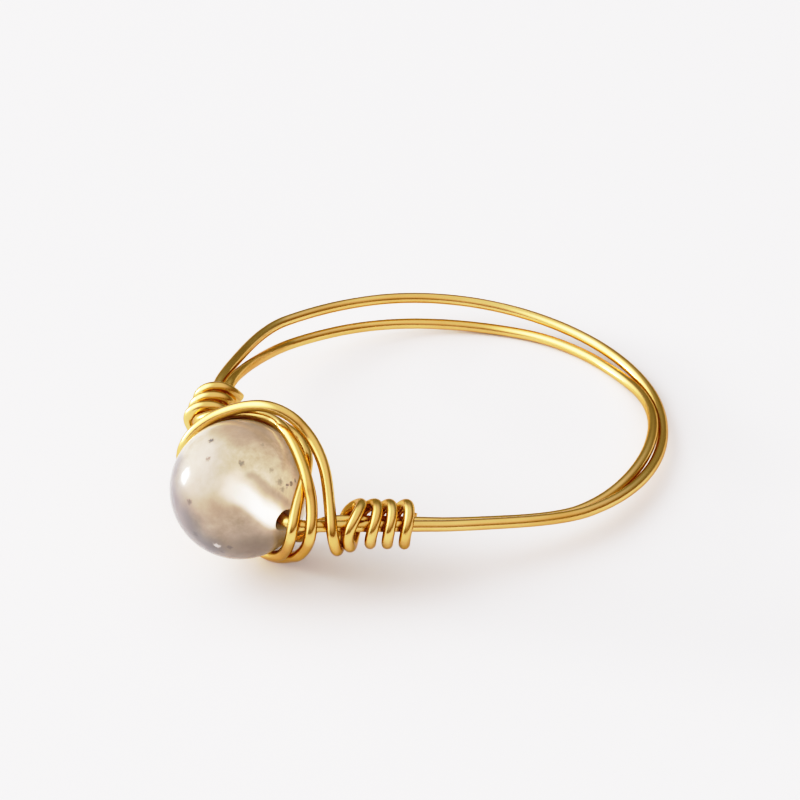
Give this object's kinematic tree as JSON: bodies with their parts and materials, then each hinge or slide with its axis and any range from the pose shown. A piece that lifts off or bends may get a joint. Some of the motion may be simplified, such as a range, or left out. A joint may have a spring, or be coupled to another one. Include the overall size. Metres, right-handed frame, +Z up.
{
  "type": "wire wrapped bead ring",
  "caption": "Finger ring wound from one gold-coloured round wire: a double band, a round moonstone bead held by crossing strands, and a tight coil on each side of the bead.",
  "frame": {"origin": "on the surface that the ring lies on, below the middle of its outline seen from above", "axes": "+Z up from that surface; the bead is towards -Y and its hole runs along X; the finger hole opens upwards"},
  "size_m": [0.0204, 0.0248, 0.0077],
  "materials": {
    "gold_wire": "polished, drawn wire",
    "moonstone": "polished, milky greige"
  },
  "bodies": {
    "root": {"gold_wire": "gold_wire", "moonstone_bead": "moonstone"}
  },
  "joints": []
}
